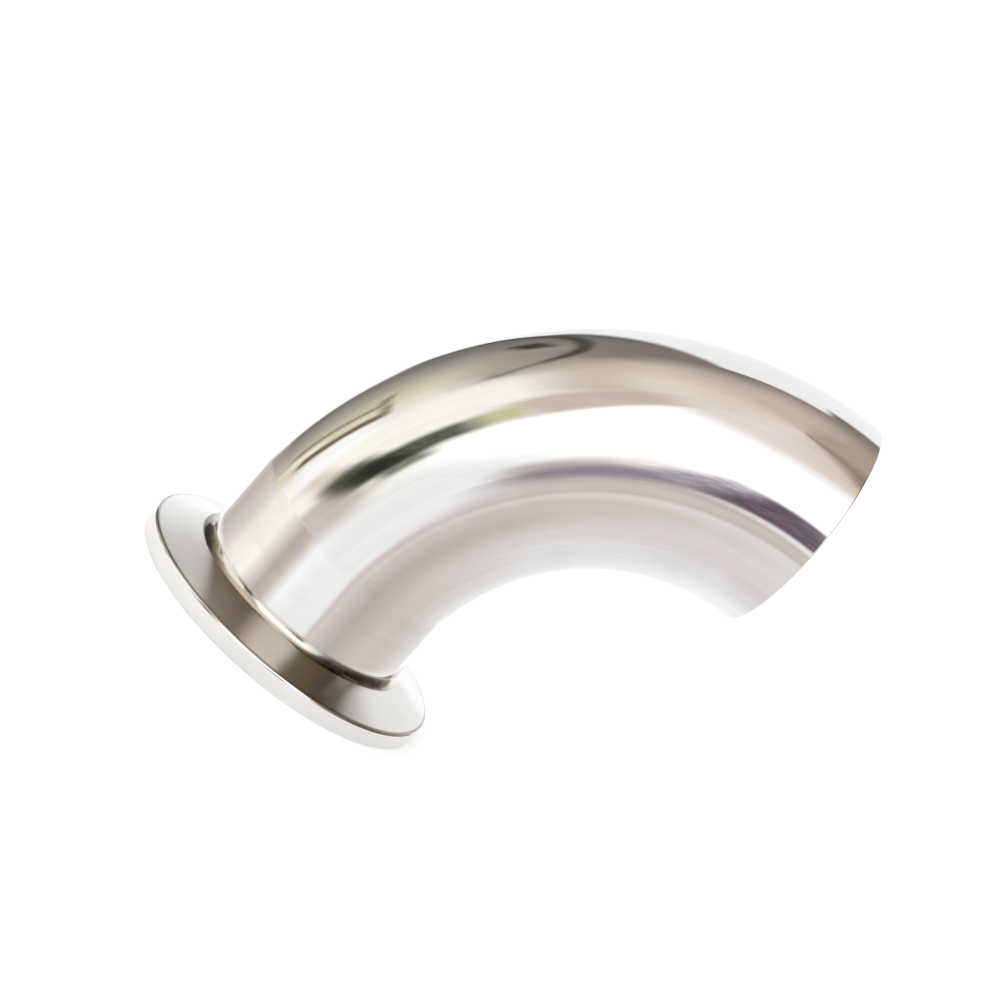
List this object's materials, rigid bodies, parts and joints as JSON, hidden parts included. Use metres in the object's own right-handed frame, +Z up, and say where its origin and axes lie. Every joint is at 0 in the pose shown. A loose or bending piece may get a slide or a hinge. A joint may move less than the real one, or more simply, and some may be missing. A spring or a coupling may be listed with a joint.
{
  "type": "sanitary elbow",
  "caption": "Right-angle elbow of polished stainless tube, with a clamp ferrule welded to one end and a plain square-cut weld end at the other.",
  "frame": {"origin": "centre of the ferrule's gasket face", "axes": "+Z up the ferrule's axis into the tube, +X out of the open weld end, +Y to the side of the bend"},
  "size_m": [0.0726, 0.0504, 0.0792],
  "materials": {
    "tube": "mirror-polished stainless steel, fine polishing lines",
    "ferrule": "polished stainless steel with fine turning marks",
    "weld": "dressed and polished weld"
  },
  "bodies": {
    "root": {"elbow_tube": "tube", "clamp_ferrule": "ferrule", "weld_seam": "weld"}
  },
  "joints": []
}
